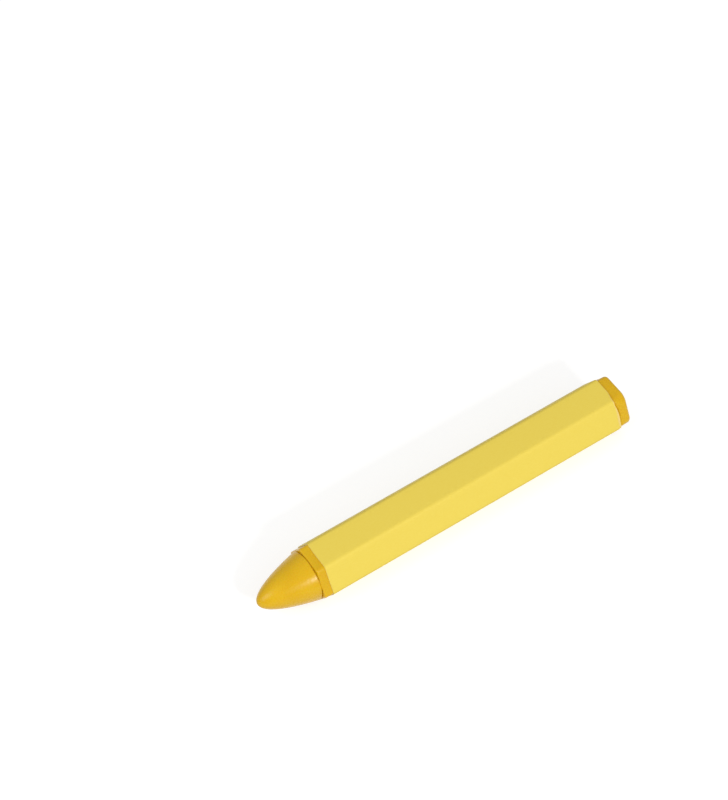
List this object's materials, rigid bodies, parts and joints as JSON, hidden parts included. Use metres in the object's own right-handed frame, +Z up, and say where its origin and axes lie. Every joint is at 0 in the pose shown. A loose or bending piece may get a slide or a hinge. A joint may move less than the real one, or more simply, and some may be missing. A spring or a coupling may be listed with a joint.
{
  "type": "tire marking crayon",
  "caption": "Six-sided wax marking crayon with a blunt round nose and a bare butt, wound in a plain paper wrapper; lies on one flat.",
  "frame": {"origin": "on the surface that the crayon lies on, under the middle of its length and width", "axes": "+X along the crayon from the nose to the butt, +Y to the rear, +Z up, square to the flat that it lies on"},
  "size_m": [0.093, 0.0136, 0.012],
  "materials": {
    "wax": "satin",
    "paper": "satin"
  },
  "bodies": {
    "root": {"wax_stick": "wax", "paper_wrapper": "paper"}
  },
  "joints": []
}
